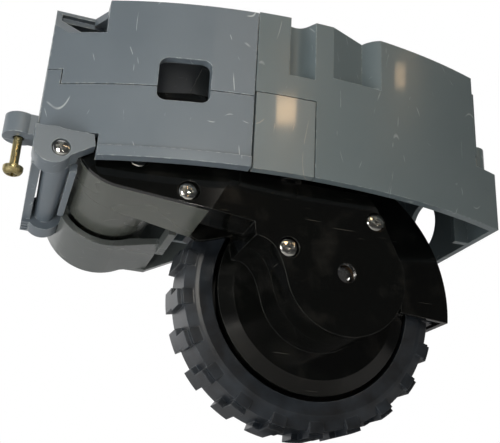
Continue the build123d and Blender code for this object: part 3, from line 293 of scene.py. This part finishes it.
# Dull charcoal
ferrite = plain_moulding("sintered_ferrite", "#2c2b2a", "#383634", 0.6, 1.6)
dress(ferrite, "motor_magnets")
# Matt black with a dry grain
glass_filled = plain_moulding("glass_filled_nylon_black", "#161616", "#222222", 0.5, 1.53)
dress(glass_filled, "motor_end_cap")
# Bright, with a tight highlight
ground_steel = plated_metal("ground_steel", "#c4c6c8", "#a5a7a9", 0.22, 0.15)
dress(ground_steel, "motor_shaft")
# Warm yellow with a soft sheen
turned_brass = plated_metal("turned_brass", "#b99a58", "#96793e", 0.28, 0.2)
dress(turned_brass, "motor_pinion")


# GEAR TRAIN
# Three idlers on fixed pins and the output gear on its shaft, with two bushes.
# Gears moulded in natural acetal, ground steel pins and shaft, sintered bronze bushes.

# Milky and slightly waxy
acetal = plain_moulding("natural_acetal", "#d9d6ca", "#e4e2d8", 0.38, 1.48)
dress(acetal, "first_idler_gear", "second_idler_gear", "third_idler_gear", "output_gear")
dress(ground_steel, "idler_pins", "output_shaft")
# Brown and porous, with a broad dull highlight
bronze = plated_metal("sintered_bronze", "#9c7746", "#7d5c34", 0.5, 0.4)
dress(bronze, "shaft_bushes")


# WHEEL
# Tyre stretched over a moulded rim, held on the shaft by a screw and a washer.
# Soft rubber with pale dust in its grain, black ABS, steel.
def tread_rubber(name):
    """Vulcanised rubber: dull, with a blue-grey bloom of about 5 mm on the rubbed faces, fine pores, and
    pale edges of wear and painted highlight.
    """
    material, tree, output, place = new_material(name)
    bloom = spread(tree, noise(tree, place, 190.0, 4.0), (0.35, 0.75), (0.0, 0.8))
    bloomed = mixed(tree, bloom, "#15191e", "#30373f")
    edge = rounded(tree, 0.0004)
    # Pale block edges: partly rubbed wear, partly a painted highlight
    edged = mixed(tree, edge_wear_and_glint(tree, place, edge, 0.5), bloomed, "#70777c")
    # Pores and grit of about 0.25 mm
    bump = relief(tree, noise(tree, place, 4000.0, 3.0), edge, 0.25, 0.0001)
    surface(tree, output, {"IOR": 1.52, "Roughness": 0.36}, {"Base Color": edged, "Normal": bump})
    return material


tyre_rubber = tread_rubber("black_tread_rubber")
dress(tyre_rubber, "tyre")
# Plain black, duller than the lid
rim_abs = plain_moulding("black_abs_rim", "#121313", "#1a1b1b", 0.4, 1.53)
dress(rim_abs, "wheel_rim")
# Bright metal that breaks into sparkles, as on the photo's screw heads
nickel = plated_metal("nickel_plated_steel", "#dfe0dc", "#8b8c8a", 0.12, 0.6, 0.00005)
dress(nickel, "axle_screw")
dress(ground_steel, "axle_washer")


# SCREWS
# Four cover screws and the frame screws: nickel-plated steel, cold-headed, cross recess.
# The three captive fixing screws are yellow-passivated and look like brass.
dress(nickel, "cover_screws", "frame_screws")
# Pale yellow, satin
passivated = plated_metal("yellow_passivated_steel", "#cdbf8e", "#9a8d63", 0.26, 0.35, 0.00003)
dress(passivated, "captive_screw_front", "captive_screw_right", "captive_screw_rear")

axle_mm = (79.3, 8.9, -30.2)


def row_point(x, y, z):
    """Millimetres from the axle at the tyre's lip to metres in the shared frame."""
    return Vector((x + axle_mm[0], y + axle_mm[1], z + axle_mm[2])) / 1000


def add_object(name, data):
    """Puts new data into the scene."""
    thing = bpy.data.objects.new(name, data)
    bpy.context.scene.collection.objects.link(thing)
    return thing


def mesh_object(name, shape):
    """Puts a finished shape into the scene."""
    mesh = bpy.data.meshes.new(name)
    shape.to_mesh(mesh)
    shape.free()
    return add_object(name, mesh)


# Millimetres: the face's lift off the solid, its crown, and the recess with its slope to the tips
face_lift, face_crown = 0.04, 0.5
slot_half_wide, slot_reach, slot_depth, slot_slope = 0.3, 1.25, 0.8, 0.4
face_cells = 40


def face_height(across, along, radius):
    """Height of a screw's face over its head: a dome, or the tapered cross recess."""
    out = math.hypot(across, along)
    if min(abs(across), abs(along)) < slot_half_wide and max(abs(across), abs(along)) < slot_reach:
        return -slot_depth * (1 - slot_slope * out / slot_reach)
    return face_lift + face_crown * math.sqrt(max(0.0, 1 - (out / radius) ** 2))


def screw_faces(name, spots, radius, body):
    """Domed faces with the cross recess, laid over the plain heads of the solids."""
    shape = bmesh.new()
    for x, y, z in spots:
        grid = []
        for row in range(face_cells + 1):
            line = []
            for column in range(face_cells + 1):
                # Square cells drawn in to the head's circle
                u, v = 2 * column / face_cells - 1, 2 * row / face_cells - 1
                reach = max(abs(u), abs(v)) / (math.hypot(u, v) or 1.0)
                across, along = u * reach * radius, v * reach * radius
                height = face_height(across, along, radius)
                line.append(shape.verts.new(row_point(x + across, y - height, z + along)))
            grid.append(line)
        for low, high in zip(grid, grid[1:]):
            for left in range(face_cells):
                shape.faces.new((low[left], low[left + 1], high[left + 1], high[left]))
    faces = mesh_object(name, shape)
    faces.data.materials.append(nickel)
    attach(faces, body)


cover_spots = [(-51.4, -15.37, 22.4), (-39.6, -18.83, 14.7), (7.8, -20.5, 14.5), (-14.9, -20.5, 4.2)]
screw_faces("cover_screw_faces", cover_spots, 2.28, "arm")
screw_faces("ear_screw_face", [(-69.6, -17.0, 20.7)], 1.98, "housing")


# SUSPENSION SPRING
# Close-wound extension spring of 0.9 mm wire between the roof hook and the arm's lug.
# Cold-drawn spring steel; it stretches as the arm rises.
wire_sides = 8


def swept_wire(name, path, radius):
    """Round wire along a list of points, closed at both ends."""
    shape = bmesh.new()
    rings = []
    across = Vector((1, 0, 0))
    for step, point in enumerate(path):
        ahead = path[min(step + 1, len(path) - 1)] - path[max(step - 1, 0)]
        ahead.normalize()
        across = (across - across.dot(ahead) * ahead).normalized()
        other = ahead.cross(across)
        ring = []
        for side in range(wire_sides):
            turn = 2 * math.pi * side / wire_sides
            ring.append(shape.verts.new(point + radius * (math.cos(turn) * across + math.sin(turn) * other)))
        rings.append(ring)
    for low, high in zip(rings, rings[1:]):
        for side in range(wire_sides):
            nearby = (side + 1) % wire_sides
            face = shape.faces.new((low[side], low[nearby], high[nearby], high[side]))
            face.smooth = True
    shape.faces.new(rings[0][::-1])
    shape.faces.new(rings[-1])
    return mesh_object(name, shape)


coil_x, coil_y, coil_r = -68.6, 4.0, 2.3
coil_low, coil_top, coil_turns = 39.8, 54.2, 16
# Only the lowest turns and the loop open as the lug moves, so that the coil stays clear of the left wall
lug_x, lug_eye_z, hook_eye_z = -67.5, 36.7, 57.3
wire_radius = 0.00045
loop_steps, loop_sweep_deg, loop_lean_deg = 14, 190, 10
turn_steps = 20

spring_path = []
for step in range(loop_steps + 1):
    turn = math.radians(loop_lean_deg - step * loop_sweep_deg / loop_steps)
    z = lug_eye_z + coil_r + coil_r * math.sin(turn)
    slide = min(1.0, max(0.0, (coil_low - z) / (coil_low - lug_eye_z)))
    spring_path.append(row_point(coil_x + (lug_x - coil_x) * slide, coil_y + coil_r * math.cos(turn), z))
for step in range(coil_turns * turn_steps + 1):
    turn = math.radians(step * 360 / turn_steps - 90)
    z = coil_low + (coil_top - coil_low) * step / (coil_turns * turn_steps)
    spring_path.append(row_point(coil_x + coil_r * math.cos(turn), coil_y + coil_r * math.sin(turn), z))
for step in range(loop_steps + 1):
    turn = math.radians(180 - step * loop_sweep_deg / loop_steps)
    z = hook_eye_z - coil_r + coil_r * math.sin(turn)
    spring_path.append(row_point(coil_x, coil_y + coil_r * math.cos(turn), z))

# Darker than the screws, with a streak of light on each turn
wire_steel = plated_metal("drawn_spring_wire", "#8f9194", "#6c6e70", 0.35, 0.15)
coil_spring = swept_wire("coil_spring", spring_path, wire_radius)
coil_spring.data.materials.append(wire_steel)
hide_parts("suspension_spring")
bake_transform(coil_spring)


# DROP SWITCH AND CONTACT BLOCK
# Small switch over the barrel and the plug-in contacts on the inboard wall.
# Black glass-filled plastic with plated brass contacts.
dress(glass_filled, "drop_switch_case", "drop_switch_button", "contact_block")
dress(turned_brass, "contacts")


# FLOOR
# Plain pale paper under the wheel, two metres across and just clear of the tread.
# It shows from above only, because the photo looks from below its level.
floor_half, floor_middle_x, floor_gap = 1.0, 0.08, 0.0002

floor_shape = bmesh.new()
floor_low = solid_box[0][2] - floor_gap
corners = [
    floor_shape.verts.new((floor_middle_x + x * floor_half, y * floor_half, floor_low))
    for x, y in ((-1, -1), (1, -1), (1, 1), (-1, 1))
]
floor_shape.faces.new(corners)
floor = mesh_object("floor", floor_shape)
# Nearly white and matt, so that it takes the object's shadow and mirrors nothing
paper, tree, output, place = new_material("white_paper")
white = mixed(tree, noise(tree, place, 300.0, 3.0), "#f2f2f2", "#f8f8f8")
matt = add_node(tree, "ShaderNodeBsdfDiffuse", {}, {"Color": white})
clear = add_node(tree, "ShaderNodeBsdfTransparent")
below = add_node(tree, "ShaderNodeNewGeometry")
one_sided = add_node(
    tree,
    "ShaderNodeMixShader",
    {},
    {0: below.outputs["Backfacing"], 1: matt.outputs[0], 2: clear.outputs[0]},
)
tree.links.new(one_sided.outputs[0], output.inputs[0])
floor.data.materials.append(paper)
floor.visible_shadow = False


# ROOM AND LAMPS
# White surroundings for the eye and for reflections, and even soft light on the object.
# The small lamps stand where the photo's highlights mirror them.
world = bpy.data.worlds.new("room")
bpy.context.scene.world = world
world.use_nodes = True
tree = world.node_tree
tree.nodes.clear()
output = add_node(tree, "ShaderNodeOutputWorld")
way = add_node(tree, "ShaderNodeLightPath")
direct = joined(tree, "MAXIMUM", way.outputs["Is Camera Ray"], way.outputs["Is Transmission Ray"])
heading = add_node(tree, "ShaderNodeTexCoord").outputs["Generated"]
split = add_node(tree, "ShaderNodeSeparateXYZ", {}, {0: heading})
# The object lies with its inboard side on a white table, so only that side mirrors white
side_white = spread(tree, split.outputs[1], (-0.1, 0.5), (0.05, 1.0))
mirrored = add_node(tree, "ShaderNodeBackground", {"Color": (1, 1, 1, 1)}, {"Strength": side_white})
plain = add_node(tree, "ShaderNodeBackground", {"Color": (1, 1, 1, 1), "Strength": 1.0})
even = add_node(tree, "ShaderNodeBackground", {"Color": (1, 1, 1, 1), "Strength": 0.15})
indirect = add_node(
    tree,
    "ShaderNodeMixShader",
    {},
    {0: way.outputs["Is Glossy Ray"], 1: even.outputs[0], 2: mirrored.outputs[0]},
)
seen = add_node(tree, "ShaderNodeMixShader", {}, {0: direct, 1: indirect.outputs[0], 2: plain.outputs[0]})
tree.links.new(seen.outputs[0], output.inputs[0])


def soft_lamp(name, spot, aim, size, power, colour):
    """Area lamp at spot, turned to aim."""
    data = bpy.data.lights.new(name, "AREA")
    data.shape = "RECTANGLE"
    data.size, data.size_y = size
    data.energy = power
    data.color = tone(colour)[:3]
    lamp = add_object(name, data)
    lamp.location = spot
    lamp.rotation_euler = (Vector(aim) - Vector(spot)).to_track_quat("-Z", "Y").to_euler()


middle = (0.065, 0.0, -0.02)
# A small desk lamp over the camera, a window at the left and the white table below it
soft_lamp("desk_lamp", (-0.020, -0.240, 0.030), middle, (0.030, 0.020), 0.235, "#fffaf0")
soft_lamp("left_window", (-0.40, -0.26, 0.02), middle, (0.30, 0.40), 0.26, "#f6f9ff")
soft_lamp("table_glow", (-0.22, -0.12, -0.24), middle, (0.20, 0.20), 0.62, "#ffffff")
# The room's ceiling, and a soft light for the side that the photo doesn't show
soft_lamp("ceiling_lamp", (0.02, -0.16, 0.46), middle, (0.25, 0.25), 0.22, "#ffffff")
soft_lamp("rear_softbox", (0.25, 0.55, 0.45), middle, (0.50, 0.50), 1.3, "#ffffff")
# Two warm bulbs that the hatch and the right wall mirror, and the pale wall that the lid mirrors
hatch_spot = (0.060, -0.018, 0.006)
right_wall_spot = (0.093, -0.017, 0.025)
lid_spot = (0.0495, -0.012, -0.010)
soft_lamp("warm_bulb_near", (0.143, -0.443, 0.256), hatch_spot, (0.045, 0.024), 0.11, "#ffd6a2")
soft_lamp("warm_bulb_far", (0.390, -0.318, 0.292), right_wall_spot, (0.026, 0.020), 0.05, "#ffd9a8")
soft_lamp("pale_wall", (0.0135, -0.486, 0.356), lid_spot, (0.10, 0.10), 0.05, "#fff6ea")


# CAMERA
# Fitted to the tyre's circle, the seams and the round wall in the photo.
# It looks up at the module from below its left end, rolled by a few degrees.
camera_data = bpy.data.cameras.new("camera")
camera_data.sensor_width = 36.0
camera_data.lens = 57.27
camera_data.clip_start = 0.01
camera_data.clip_end = 10.0
camera = add_object("camera", camera_data)
back = Vector((-0.2764, -0.8856, -0.3731)).normalized()
up = back.cross(Vector((0.9471, -0.3169, 0.0505))).normalized()
right = up.cross(back).normalized()
turned = Matrix((right, up, back)).transposed().to_4x4()
camera.matrix_world = Matrix.Translation(row_point(-76.2, -185.6, -60.4)) @ turned
bpy.context.scene.camera = camera
bpy.context.scene.view_settings.view_transform = "Standard"
